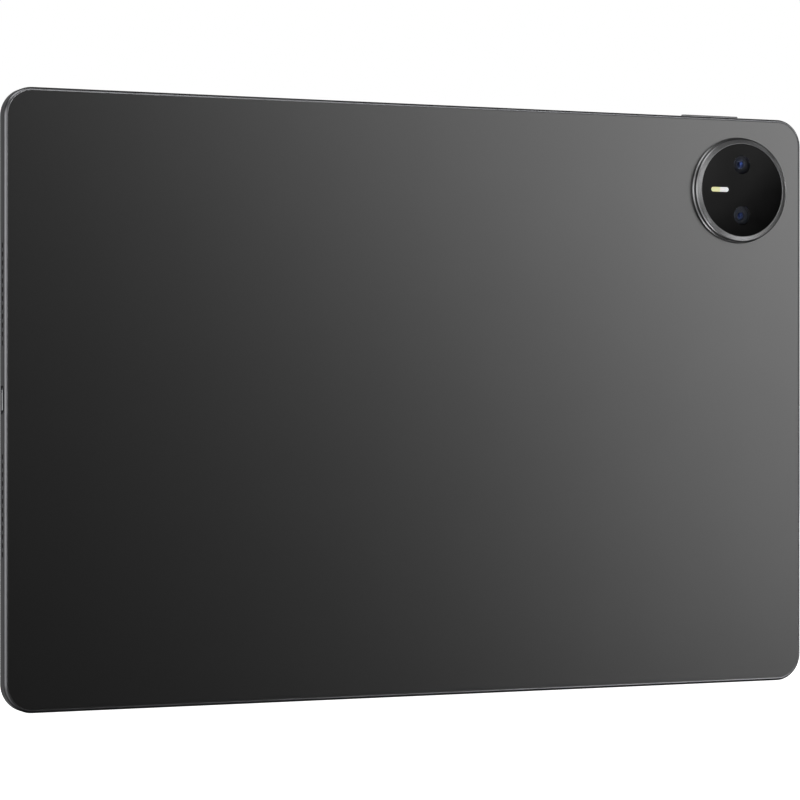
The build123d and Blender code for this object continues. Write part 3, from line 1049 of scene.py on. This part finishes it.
@dataclass
class CameraUnit:
    """Raised ring, its glass, the two cameras behind it and the flash window."""

    glass_radius: float = 16.0
    bore_radius: float = 15.1
    spigot_radius: float = 17.0
    upper_radius: float = 18.0
    groove_radius: float = 17.7
    window_radius: float = 3.2
    stop_radius: float = 1.15
    rib_count: int = 150
    rib_slant: float = 3.4
    rib_half_width: float = 0.13
    rib_height: float = 0.08
    rib_root: float = 0.05

    def __post_init__(self) -> None:
        """Measure the ring, its glass and the flash window."""
        self.ring = Place.of("camera_ring")
        self.glass = Place.of("camera_glass")
        self.flash = Place.of("flash_diffuser")
        self.centre = (self.ring.centre.x, self.ring.centre.z)

    def build_ring(self, metal: Material) -> None:
        """Turn the ring: spigot, stepped wall with its groove, and the sloped upper face."""
        base = self.ring.size.x / 2
        top = self.ring.high.y
        seat = self.glass.low.y - 0.05
        profile = [
            (self.bore_radius, self.ring.low.y),
            (self.spigot_radius, self.ring.low.y),
            (self.spigot_radius, 2.85),
            (base, 2.85),
            (base, 3.00),
            (base - 0.38, 3.40),
            (self.groove_radius, 3.40),
            (self.groove_radius, 3.60),
            (self.upper_radius, 3.60),
            (self.upper_radius, 4.72),
            (self.upper_radius - 0.42, 5.10),
            (self.glass_radius + 0.30, top),
            (self.glass_radius + 0.05, top),
            (self.glass_radius + 0.05, seat),
            (self.bore_radius, seat),
        ]
        skin = lathe(soften(profile, 0.08), self.centre, 256)
        make_piece(skin, "camera_ring_turned", metal, stands_for=["camera_ring"])

    def rib(self) -> bpy.types.Object:
        """One fine slanted rib of the sloped face, at the start of the circle."""
        inner = Vector((self.glass_radius + 0.45, self.ring.high.y - 0.06, 0.0))
        outer = Vector((self.upper_radius - 0.50, 5.10, 0.0))
        turn = Matrix.Rotation(math.radians(self.rib_slant), 4, "Y")
        outer = turn @ outer
        along = (outer - inner).normalized()
        up = Vector((0.28, 0.96, 0.0)).normalized()
        across = along.cross(up).normalized()
        side, crest = across * self.rib_half_width, up * self.rib_height
        root = up * self.rib_root
        skin = bmesh.new()
        ends = []
        for point in (inner, outer):
            corners = (point - side - root, point + crest, point + side - root)
            ends.append([skin.verts.new(corner * MM) for corner in corners])
        for i in range(3):
            j = (i + 1) % 3
            skin.faces.new((ends[0][i], ends[0][j], ends[1][j], ends[1][i]))
        skin.faces.new(ends[0])
        skin.faces.new(list(reversed(ends[1])))
        bmesh.ops.recalc_face_normals(skin, faces=skin.faces)
        return to_object(skin, "rib")

    def knurl_tree(self) -> Tree:
        """Tree that repeats one rib round the camera's axis."""
        tree, given = new_tree("ring_knurl", Rib="Object", Rib_count="Int", Centre="Vector")
        points = add_node(tree, "GeometryNodePoints", {"Count": given["Rib count"]})
        index = add_node(tree, "GeometryNodeInputIndex", {})
        share = compute(tree, "DIVIDE", index.outputs[0], given["Rib count"])
        turn = add_node(tree, "ShaderNodeCombineXYZ", {"Y": compute(tree, "MULTIPLY", share, math.tau)})
        shape = shape_of(tree, given["Rib"])
        ribs = repeat(tree, points.outputs[0], shape, {"Rotation": turn.outputs["Vector"]})
        end_tree(tree, move(tree, ribs, {"Translation": given["Centre"]}), given["Material"])
        return tree

    def build_knurl(self, metal: Material) -> None:
        """Cover the ring's sloped face with fine ribs."""
        rib = self.rib()
        knurl = to_object(bmesh.new(), "camera_ring_knurl")
        values = {
            "Rib": rib,
            "Rib count": self.rib_count,
            "Centre": (self.centre[0] * MM, 0.0, self.centre[1] * MM),
            "Material": metal,
        }
        run_tree(knurl, self.knurl_tree(), values)
        bpy.data.objects.remove(rib)
        place_piece(knurl, metal)

    def build_glass(self, print_black: Material, clear: Material) -> None:
        """Make the printed glass disc and the clear windows over the lenses."""
        disc = circle_outline(self.glass_radius, 32, 0.9999)
        flash_size = self.flash.size
        pill = rounded_outline(flash_size.x + 0.1, flash_size.z + 0.1, (flash_size.z + 0.1) * 0.499, 10)
        holes = [standing_loop(pill, 0.0, (self.flash.centre.x, self.flash.centre.z))]
        window = circle_outline(self.window_radius, 12)
        panes = []
        for barrel in ("main_camera_barrel", "wide_camera_barrel"):
            at = Place.of(barrel).centre
            holes.append(standing_loop(window, 0.0, (at.x, at.z)))
            rim = self.window_radius - 0.02
            profile = [(0.0, 4.60), (rim, 4.60), (rim, self.glass.high.y), (0.0, self.glass.high.y)]
            panes.append(lathe(profile, (at.x, at.z), 64))
        plate = pierced_plate(disc, self.centre, self.glass.low.y, self.glass.high.y, 0.12, holes)
        make_piece(plate, "camera_glass_disc", print_black, stands_for=["camera_glass"])
        make_piece(join_skins(panes), "camera_windows", clear)

    def build_lens(self, camera: str, body: Body, barrel: Material, lens: Material) -> None:
        """Make one camera's barrel and coated lens.

        Args:
            camera: the start of the CAD nodes' names.
            body: the body that the barrel rides on.
            barrel: the barrel's material.
            lens: the lens's material.
        """
        tube = Place.of(camera + "_barrel")
        at = (tube.centre.x, tube.centre.z)
        outer = tube.size.x / 2
        front = tube.high.y
        stop = self.stop_radius
        profile = [
            (2.60, tube.low.y),
            (outer, tube.low.y),
            (outer, front - 0.12),
            (outer - 0.12, front),
            (outer - 0.32, front),
            (outer - 0.40, front - 0.10),
            (1.95, front - 0.20),
            (1.85, front - 0.06),
            (stop + 0.25, front - 0.06),
            (stop, front - 0.20),
            (stop, front - 0.34),
            (2.60, front - 0.60),
        ]
        tube_skin = lathe(profile, at, 96)
        make_piece(tube_skin, camera + "_barrel_turned", barrel, body, [camera + "_barrel"])
        crown, edge = front - 0.12, front - 0.60
        dome = [(0.0, edge - 0.60), (2.5, edge - 0.60), (2.5, edge - 0.10), (1.7, edge)]
        for sine, cosine in quarter_round(12, 1):
            dome.append((1.7 * cosine, edge + (crown - edge) * sine))
        inner = [(0.0, 1.0), (2.5, 1.0), (2.5, 1.6), (0.0, 1.6)]
        stack = join_skins([lathe(dome, at, 64), lathe(inner, at, 64)])
        make_piece(stack, camera + "_lens_stack", lens, body, [camera + "_lenses"])

    def build_flash(self, plastic: Material) -> None:
        """Make the flash window, a pill with a softened face."""
        size, centre = self.flash.size, self.flash.centre
        rear = self.flash.high.y
        levels = [(0.0, self.flash.low.y), (0.0, rear - 0.12), (0.03, rear - 0.04), (0.12, rear)]
        loops = []
        for inset, depth in levels:
            width, height = size.x - 2 * inset, size.z - 2 * inset
            loops.append(standing_loop(rounded_outline(width, height, height * 0.499, 10), depth,
                                       (centre.x, centre.z)))
        make_piece(loft(loops), "flash_window", plastic, stands_for=["flash_diffuser"])


@dataclass
class Keys:
    """Volume key on the top edge and power button on the far short edge."""

    volume_length: float = 22.0
    power_length: float = 14.0
    thickness: float = 2.1
    flange_thickness: float = 0.5
    crown: float = 0.22

    def key_skin(self, length: float, place: Place, upright: bool) -> Skin:
        """Skin of one key, from its flange to its softened crown.

        Args:
            length: length of the cap.
            place: the CAD key's box.
            upright: whether it stands along Z and is pressed along X.

        Returns:
            The key.
        """
        size, centre = place.size, place.centre
        flange_length = size.z if upright else size.x
        travel = size.x if upright else size.z
        corner = self.thickness * 0.45
        levels = [
            (flange_length, size.y, 0.3, 0.0),
            (flange_length, size.y, 0.3, self.flange_thickness),
            (length, self.thickness, corner, self.flange_thickness),
        ]
        for sine, cosine in quarter_round(6):
            inset = self.crown * (1 - cosine)
            rise = travel - self.crown * (1 - sine)
            levels.append((length - 2 * inset, self.thickness - 2 * inset, corner - inset, rise))
        loops = []
        for along, across, radius, rise in levels:
            loop = []
            for u, v in rounded_outline(along, across, radius, 8):
                if upright:
                    loop.append(Vector((place.high.x - rise, centre.y + v, centre.z + u)) * MM)
                else:
                    loop.append(Vector((centre.x + u, centre.y + v, place.low.z + rise)) * MM)
            loops.append(loop)
        return loft(loops)

    def build(self, metal: Material) -> None:
        """Make both keys."""
        plan = (
            ("volume_key_cap", "volume_rocker", self.volume_length, False, Body.VOLUME_KEY),
            ("power_key_cap", "power_button", self.power_length, True, Body.POWER_KEY),
        )
        for name, node, length, upright, body in plan:
            skin = self.key_skin(length, Place.of(node), upright)
            make_piece(skin, name, metal, body, [node])


@dataclass
class Port:
    """USB-C receptacle: drawn steel shell, moulded tongue and its gold contacts."""

    mouth_length: float = 8.34
    mouth_width: float = 2.56
    mouth_depth: float = 6.2
    contact_count: int = 12
    contact_pitch: float = 0.5

    def __post_init__(self) -> None:
        """Measure the shell and the tongue."""
        self.shell = Place.of("usb_shell")
        self.tongue = Place.of("usb_tongue")

    def ring(self, length: float, width: float, x: float) -> list[Vector]:
        """Rounded outline of the receptacle at a distance along X."""
        centre = self.shell.centre
        points = rounded_outline(length, width, width * 0.499, 12)
        return [Vector((x, centre.y + y, centre.z + z)) * MM for z, y in points]

    def build_shell(self, steel: Material) -> None:
        """Make the shell, a folded tube closed at its back, with a flared lip."""
        mouth, back = self.shell.high.x, self.shell.low.x
        length, width = self.shell.size.z, self.shell.size.y
        loops = [
            self.ring(self.mouth_length, self.mouth_width, mouth - self.mouth_depth),
            self.ring(self.mouth_length, self.mouth_width, mouth - 0.15),
            self.ring(self.mouth_length + 0.2, self.mouth_width + 0.2, mouth - 0.02),
            self.ring(length - 0.12, width - 0.12, mouth),
            self.ring(length, width, mouth - 0.06),
            self.ring(length, width, back),
        ]
        make_piece(loft(loops), "usb_shell_drawn", steel, stands_for=["usb_shell"])

    def contact_tree(self) -> Tree:
        """Tree that lays one contact pad in a row on each side of the tongue."""
        tree, given = new_tree(
            "usb_contact_rows",
            Pad="Object",
            Pads_in_a_row="Int",
            Row_start="Vector",
            Row_step="Vector",
            Other_side="Vector",
        )
        line = line_of(tree, given["Pads in a row"], given["Row start"], given["Row step"])
        row = repeat(tree, line, shape_of(tree, given["Pad"]))
        other = move(tree, row, {"Translation": given["Other side"]})
        end_tree(tree, join(tree, (row, other)), given["Material"])
        return tree

    def build_tongue(self, plastic: Material, gold: Material) -> None:
        """Make the tongue with its rounded nose, and its two rows of contacts."""
        size, centre = self.tongue.size, self.tongue.centre
        block = rounded_block(tuple(size), tuple(centre), 0.12)
        make_piece(block, "usb_tongue_moulded", plastic, stands_for=["usb_tongue"])
        pad = to_object(rounded_block((2.6, 0.03, 0.25), (0.0, 0.0, 0.0), 0), "pad")
        contacts = to_object(bmesh.new(), "usb_contacts")
        first = centre.z - self.contact_pitch * (self.contact_count - 1) / 2
        values = {
            "Pad": pad,
            "Pads in a row": self.contact_count,
            "Row start": Vector((centre.x + 0.6, self.tongue.high.y + 0.01, first)) * MM,
            "Row step": (0.0, 0.0, self.contact_pitch * MM),
            "Other side": (0.0, -(size.y + 0.02) * MM, 0.0),
            "Material": gold,
        }
        run_tree(contacts, self.contact_tree(), values)
        bpy.data.objects.remove(pad)
        place_piece(contacts, gold)


@dataclass
class SpeakerMeshes:
    """Woven strips of blackened wire behind the four grilles."""

    # Real weaves are 0.05 mm wire at 0.1 mm. They are drawn coarser so that the weave shows.
    pitch: float = 0.22
    wire: float = 0.09

    def weave_tree(self) -> Tree:
        """Tree that crosses two runs of straight wires."""
        tree, given = new_tree(
            "speaker_weave",
            Long_wire="Object",
            Short_wire="Object",
            Long_wires="Int",
            Short_wires="Int",
            Corner="Vector",
            Across="Vector",
            Along="Vector",
        )
        runs = []
        for wire, step in (("Long wire", "Across"), ("Short wire", "Along")):
            line = line_of(tree, given[wire + "s"], given["Corner"], given[step])
            runs.append(repeat(tree, line, shape_of(tree, given[wire])))
        end_tree(tree, join(tree, runs), given["Material"])
        return tree

    def build(self, steel: Material) -> None:
        """Weave all four strips."""
        tree = self.weave_tree()
        for side in Side:
            for level in Level:
                ending = f"_{level.name.lower()}_{side.name.lower()}_side"
                strip = Place.of("speaker_mesh" + ending)
                size, centre = strip.size, strip.centre
                half = self.wire / 2
                long_wire = rounded_block((self.wire, self.wire, size.z), (-half, 0.0, size.z / 2), 0)
                short_wire = rounded_block((self.wire, size.y, self.wire), (half, size.y / 2, 0.0), 0)
                wires = (to_object(long_wire, "long_wire"), to_object(short_wire, "short_wire"))
                values = {
                    "Long wire": wires[0],
                    "Short wire": wires[1],
                    "Long wires": int(size.y / self.pitch) + 1,
                    "Short wires": int(size.z / self.pitch) + 1,
                    "Corner": Vector((centre.x, strip.low.y, strip.low.z)) * MM,
                    "Across": (0.0, self.pitch * MM, 0.0),
                    "Along": (0.0, 0.0, self.pitch * MM),
                    "Material": steel,
                }
                piece = to_object(bmesh.new(), "speaker_weave" + ending)
                run_tree(piece, tree, values)
                for wire in wires:
                    bpy.data.objects.remove(wire)
                place_piece(piece, steel, stands_for=["speaker_mesh" + ending])


@dataclass
class FrontSensors:
    """Front camera and light sensor, seen as small round windows in the top of the glass."""

    camera_radius: float = 1.25
    pupil_radius: float = 0.75
    sensor_radius: float = 0.7
    proud: float = 0.004
    depth: float = 0.06

    def build(self, lens: Material, rim: Material) -> None:
        """Make the two windows and the camera's dark rim."""
        face = Place.of("cover_glass").low.y - self.proud
        height = Place.of("front_camera").high.z - self.camera_radius
        along = Place.of("light_sensor").centre.x
        back = face + self.depth
        small = [(0.0, back), (self.sensor_radius, back), (self.sensor_radius, face), (0.0, face)]
        pupil = [(0.0, back), (self.pupil_radius, back), (self.pupil_radius, face), (0.0, face - 0.01)]
        skins = [lathe(pupil, (0.0, height), 48), lathe(small, (along, height), 32)]
        make_piece(join_skins(skins), "front_windows", lens)
        inner, outer = self.pupil_radius + 0.03, self.camera_radius
        ring = [(inner, back), (outer, back), (outer, face), (inner, face)]
        make_piece(lathe(ring, (0.0, height), 48), "front_camera_rim", rim)


# ---------------------------------------------------------------- studio


@dataclass(frozen=True)
class SoftLight:
    """Rectangular soft light that no camera sees."""

    name: str
    at: tuple[float, float, float]
    target: tuple[float, float, float]
    width: float
    height: float
    power: float
    shape: str = "RECTANGLE"
    tint: str = "#ffffff"
    lights_only: tuple[str, ...] = ()
    leaves_out: tuple[str, ...] = ()

    def build(self) -> None:
        """Hang the light, aim it, and limit it to the pieces that it's meant for."""
        lamp = bpy.data.lights.new(self.name, "AREA")
        lamp.shape = self.shape
        lamp.size = self.width
        lamp.size_y = self.height
        lamp.energy = self.power
        lamp.color = linear(self.tint)[:3]
        holder = bpy.data.objects.new(self.name, lamp)
        holder.location = self.at
        holder.rotation_euler = (Vector(self.target) - Vector(self.at)).to_track_quat("-Z", "Y").to_euler()
        holder.visible_camera = False
        bpy.context.scene.collection.objects.link(holder)
        names = self.lights_only or self.leaves_out
        if not names:
            return
        reach = bpy.data.collections.new(self.name + "_reach")
        for name in names:
            reach.objects.link(bpy.data.objects[name])
        if self.leaves_out:
            for item in reach.collection_objects:
                item.light_linking.link_state = "EXCLUDE"
        holder.light_linking.receiver_collection = reach


@dataclass
class Studio:
    """White floor and air, soft lights and the camera."""

    camera_at: tuple[float, float, float] = (0.4137, 0.9039, 0.09805)
    camera_aim: tuple[float, float, float] = (-0.409, -0.912, 0.0)
    focal_length: float = 134.7
    sensor_width: float = 36.0
    floor_size: float = 80.0
    ambient: float = 0.002
    # Pale parts of the room: direction, where the glow starts and is full, and its strength
    glows: tuple[tuple[tuple[float, float, float], float, float, float], ...] = (
        ((0.0, -1.0, 0.0), 0.6, 0.98, 0.26),
        ((0.85, 0.45, -0.25), 0.5, 0.95, 0.6),
    )

    def build_camera(self) -> None:
        """Place the camera level with the middle of the tablet, near its port edge."""
        data = bpy.data.cameras.new("studio_camera")
        data.lens = self.focal_length
        data.sensor_width = self.sensor_width
        data.clip_start = 0.01
        data.clip_end = 100.0
        camera = bpy.data.objects.new("studio_camera", data)
        camera.location = self.camera_at
        camera.rotation_euler = Vector(self.camera_aim).to_track_quat("-Z", "Y").to_euler()
        bpy.context.scene.collection.objects.link(camera)
        bpy.context.scene.camera = camera

    def build_floor(self) -> None:
        """Lay a wide white floor just under the tablet."""
        half = self.floor_size / 2
        skin = bmesh.new()
        corners = ((-half, -half), (half, -half), (half, half), (-half, half))
        skin.faces.new([skin.verts.new((x, y, -0.0001)) for x, y in corners])
        floor = to_object(skin, "studio_floor")
        settings = {"Roughness": 0.9, "Specular IOR Level": 0.0, "Base Color": linear("#f4f4f4")}
        settings |= {"Emission Color": linear("#ffffff"), "Emission Strength": 1.0}
        floor.data.materials.append(new_surface("white_floor", settings)[0])
        floor.visible_glossy = False
        floor.visible_diffuse = False
        floor.visible_shadow = False

    def build_air(self) -> None:
        """White air behind the object, and a dim even light on it."""
        world = bpy.data.worlds.new("studio_air")
        world.use_nodes = True
        tree = world.node_tree
        tree.nodes.clear()
        rays = add_node(tree, "ShaderNodeLightPath", {})
        place = add_node(tree, "ShaderNodeTexCoord", {}).outputs["Generated"]
        strength = self.ambient
        for toward, start, end, glow in self.glows:
            product = {"operation": "DOT_PRODUCT", 0: place, 1: Vector(toward).normalized()}
            share = add_node(tree, "ShaderNodeVectorMath", product).outputs["Value"]
            level = stretch(tree, share, start, end, 0.0, glow, "SMOOTHSTEP")
            strength = compute(tree, "ADD", level, strength)
        white = linear("#ffffff")
        dim = add_node(tree, "ShaderNodeBackground", {"Color": white, "Strength": strength})
        full = add_node(tree, "ShaderNodeBackground", {"Color": white, "Strength": 1.0})
        mix = {0: rays.outputs["Is Camera Ray"], 1: dim.outputs[0], 2: full.outputs[0]}
        both = add_node(tree, "ShaderNodeMixShader", mix)
        add_node(tree, "ShaderNodeOutputWorld", {"Surface": both.outputs[0]})
        bpy.context.scene.world = world

    def build_lights(self) -> None:
        """Hang the lights."""
        middle, ring = (0.0, 0.0, 0.098), (-0.119, 0.0, 0.171)
        shell, cover, key = "frame_shell", "rear_cover_sheet", "volume_key_cap"
        disc, windows = "camera_glass_disc", "camera_windows"
        turned = ("camera_ring_turned", "camera_ring_knurl")
        milled = (shell, *turned)
        edges = (*milled, key)
        lenses = ("main_camera_lens_stack", "wide_camera_lens_stack")
        barrels = ("main_camera_barrel_turned", "wide_camera_barrel_turned")
        glass = (disc, windows, *lenses, *barrels)
        # Light reaches the lenses through their windows, so the windows are named with them
        behind = (*lenses, windows)
        lights = (
            SoftLight("overhead", (-0.283, 0.2, 0.618), middle, 1.14, 1.5, 5.28,
                      leaves_out=(*glass, *milled)),
            SoftLight("mirrored_panel", (-1.135, 1.271, 0.146), middle, 0.566, 0.673, 2.29, leaves_out=glass),
            SoftLight("screen_fill", (-0.7, -1.2, 0.8), middle, 1.2, 1.2, 8.0),
            SoftLight("edge_accent", (1.0, 0.75, 0.2), middle, 1.2, 0.6, 4.6, leaves_out=(*glass, cover)),
            SoftLight("side_accent", (1.2, -0.1, 0.2), middle, 0.8, 0.6, 2.0, lights_only=edges),
            SoftLight("top_accent", (0.45, 0.35, 1.05), ring, 1.3, 0.5, 6.0, lights_only=(*milled, disc)),
            SoftLight("hairline", (-0.57, 0.88, 0.84), middle, 0.9, 0.25, 3.2, lights_only=(shell,)),
            SoftLight("corner_accent", (-1.07, 0.37, 0.66), ring, 0.5, 0.4, 1.8, lights_only=(shell,)),
            SoftLight("ring_accent", (-0.25, 1.45, 0.45), ring, 0.4, 0.4, 3.6, lights_only=edges),
            SoftLight("low_accent", (-0.75, 0.95, -0.35), ring, 0.4, 0.4, 2.6, lights_only=edges),
            SoftLight("wall_accent", (1.0, 0.12, 0.25), ring, 0.3, 0.2, 2.0, lights_only=turned),
            SoftLight("far_accent", (-1.3, -0.5, 0.4), ring, 0.4, 0.4, 8.0, lights_only=(*turned, disc)),
            SoftLight("low_left_accent", (0.3, 0.4, -0.7), ring, 0.3, 0.3, 2.0, lights_only=turned),
            SoftLight("glass_sheen", (-0.602, 1.0, 0.358), ring, 0.3, 0.3, 0.6, "DISK", lights_only=(disc,)),
            SoftLight("glint", (-0.855, 1.18, 0.388), ring, 0.14, 0.14, 8.0, "DISK", "#f2f6ff", behind),
            SoftLight("blue_glint", (-1.05, 0.99, 0.49), ring, 0.2, 0.2, 2.5, "DISK", "#5f9cff", behind),
            SoftLight("violet_glint", (-0.58, 1.31, 0.02), ring, 0.2, 0.2, 0.7, "DISK", "#6a5cff", behind),
        )
        for light in lights:
            light.build()

    def build(self) -> None:
        """Set up the whole studio."""
        bpy.context.scene.view_settings.view_transform = "Standard"
        self.build_camera()
        self.build_floor()
        self.build_air()
        self.build_lights()


# ---------------------------------------------------------------- inside


def dress_inside(shown: dict[str, bpy.types.Object]) -> None:
    """Give every CAD node that keeps its own shape the finish of its slot.

    Args:
        shown: the CAD nodes by name.
    """
    finishes: dict[str, MouldedPart] = {
        "display": MouldedPart("display_polariser", "#08090b", "#0c0d10", 0.35, 0.5),
        "adhesive": MouldedPart("acrylic_foam_tape", "#0b0b0b", "#131313", 0.8, 0.3),
        "gasket_rubber": MouldedPart("silicone_gasket", "#070707", "#0d0d0d", 0.6, 0.25),
        "camera_black": MouldedPart("blackened_brass", "#050505", "#0a0a0a", 0.4, 0.15),
        "bare_steel": MouldedPart("rolled_stainless_steel", "#a8a9ab", "#bcbdbf", 0.3, 0.1, 1.0, 0.05),
        "speaker_case": MouldedPart("glass_filled_nylon", "#141414", "#1c1c1c", 0.55, 0.3),
        "board": MouldedPart("solder_masked_laminate", "#0a1f16", "#0f2a1e", 0.4, 0.8),
        "chips": MouldedPart("epoxy_moulded_chip", "#111112", "#18181a", 0.6, 0.15),
        "flexible_board": MouldedPart("polyimide_film", "#7a4312", "#8f531a", 0.35, 1.5),
        "switch_domes": MouldedPart("pressed_steel_dome", "#b5b6b8", "#c6c7c9", 0.25, 0.1, 1.0, 0.03),
        "battery_wrap": MouldedPart("pouch_cell_film", "#16171a", "#1e1f23", 0.45, 1.2),
        "graphite": MouldedPart("pressed_graphite", "#2b2c2f", "#37383c", 0.5, 0.2, 0.4),
        "magnet_metal": MouldedPart("nickel_plated_magnet", "#aeaca6", "#bdbbb5", 0.2, 0.1, 1.0, 0.03),
        "aerial_plastic": MouldedPart("plated_liquid_crystal_polymer", "#2a2622", "#38332d", 0.45, 0.5),
    }
    made: dict[str, Material] = {}
    for row in frame["record"]["subparts"]:
        slot = row["material_slot"]
        if slot not in finishes or row["node"] not in shown:
            continue
        if slot not in made:
            made[slot] = finishes[slot].build()
        piece = shown[row["node"]]
        piece.data.materials.clear()
        piece.data.materials.append(made[slot])
        LOG.info("%s: dressed in %s", row["node"], made[slot].name)


def main() -> None:
    """Build the studio and every piece of the tablet."""
    logging.basicConfig(level=logging.INFO, format="%(name)s %(message)s")
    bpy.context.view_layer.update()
    dress_inside(frame["nodes"])

    shell = BodyShell()
    shell.build_frame(AnodisedAluminium("blasted_anodised_frame", "#68686a", "#6c6c6e", 0.33).build())
    shell.build_cover(AnodisedAluminium("blasted_anodised_cover", "#696969", "#6b6b6b", 0.326).build())
    panel = Place.of("display_panel")
    window = (panel.size.x - 2.4, panel.size.z - 2.4)
    screen = ScreenGlass("bonded_screen_glass", "#020202", "#1c1d22", 0.05, window, panel.centre.z)
    shell.build_glass(screen.build())

    camera = CameraUnit()
    centre = camera.centre
    ring_metal = TurnedAluminium("turned_anodised_ring", "#707071", "#8a8a8b", 0.36, centre).build()
    camera.build_ring(ring_metal)
    camera.build_knurl(ring_metal)
    camera.build_glass(
        PrintedGlass("camera_glass_black", "#050505", "#080808", 0.12, 0.1).build(),
        ClearGlass("lens_window_glass", "#f2f6ff").build(),
    )
    barrel = MouldedPart("blackened_barrel", "#030303", "#050505", 0.7, 0.1)
    # 0c2a78 is the painted blue reflection that the lens shows towards grazing angles
    lens = CoatedLens("blue_coated_lens", "#02040d", "#0c2a78")
    barrel_metal, lens_glass = barrel.build(), lens.build()
    camera.build_lens("main_camera", Body.FOCUS, barrel_metal, lens_glass)
    camera.build_lens("wide_camera", Body.TABLET, barrel_metal, lens_glass)
    seam = camera.flash.centre.x
    camera.build_flash(FlashWindow("frosted_flash_window", "#efecb4", "#f6f6f6", seam).build())

    Keys().build(AnodisedAluminium("blasted_anodised_keys", "#5c5c5e", "#646466", 0.36).build())
    port = Port()
    port.build_shell(MouldedPart("drawn_stainless_shell", "#8d8e90", "#9d9ea0", 0.28, 0.1, 1.0, 0.04).build())
    port.build_tongue(
        MouldedPart("port_tongue_nylon", "#0a0a0b", "#121213", 0.5, 0.2).build(),
        MouldedPart("gold_plated_contacts", "#c79a3c", "#d8ab4c", 0.22, 0.1, 1.0, 0.02).build(),
    )
    SpeakerMeshes().build(MouldedPart("blackened_woven_steel", "#141414", "#1d1d1d", 0.4, 0.1, 0.8).build())
    rim = MouldedPart("front_camera_rim_black", "#232326", "#2b2b2e", 0.5, 0.1)
    FrontSensors().build(lens_glass, rim.build())
    Studio().build()


if __name__ == "__main__":
    main()
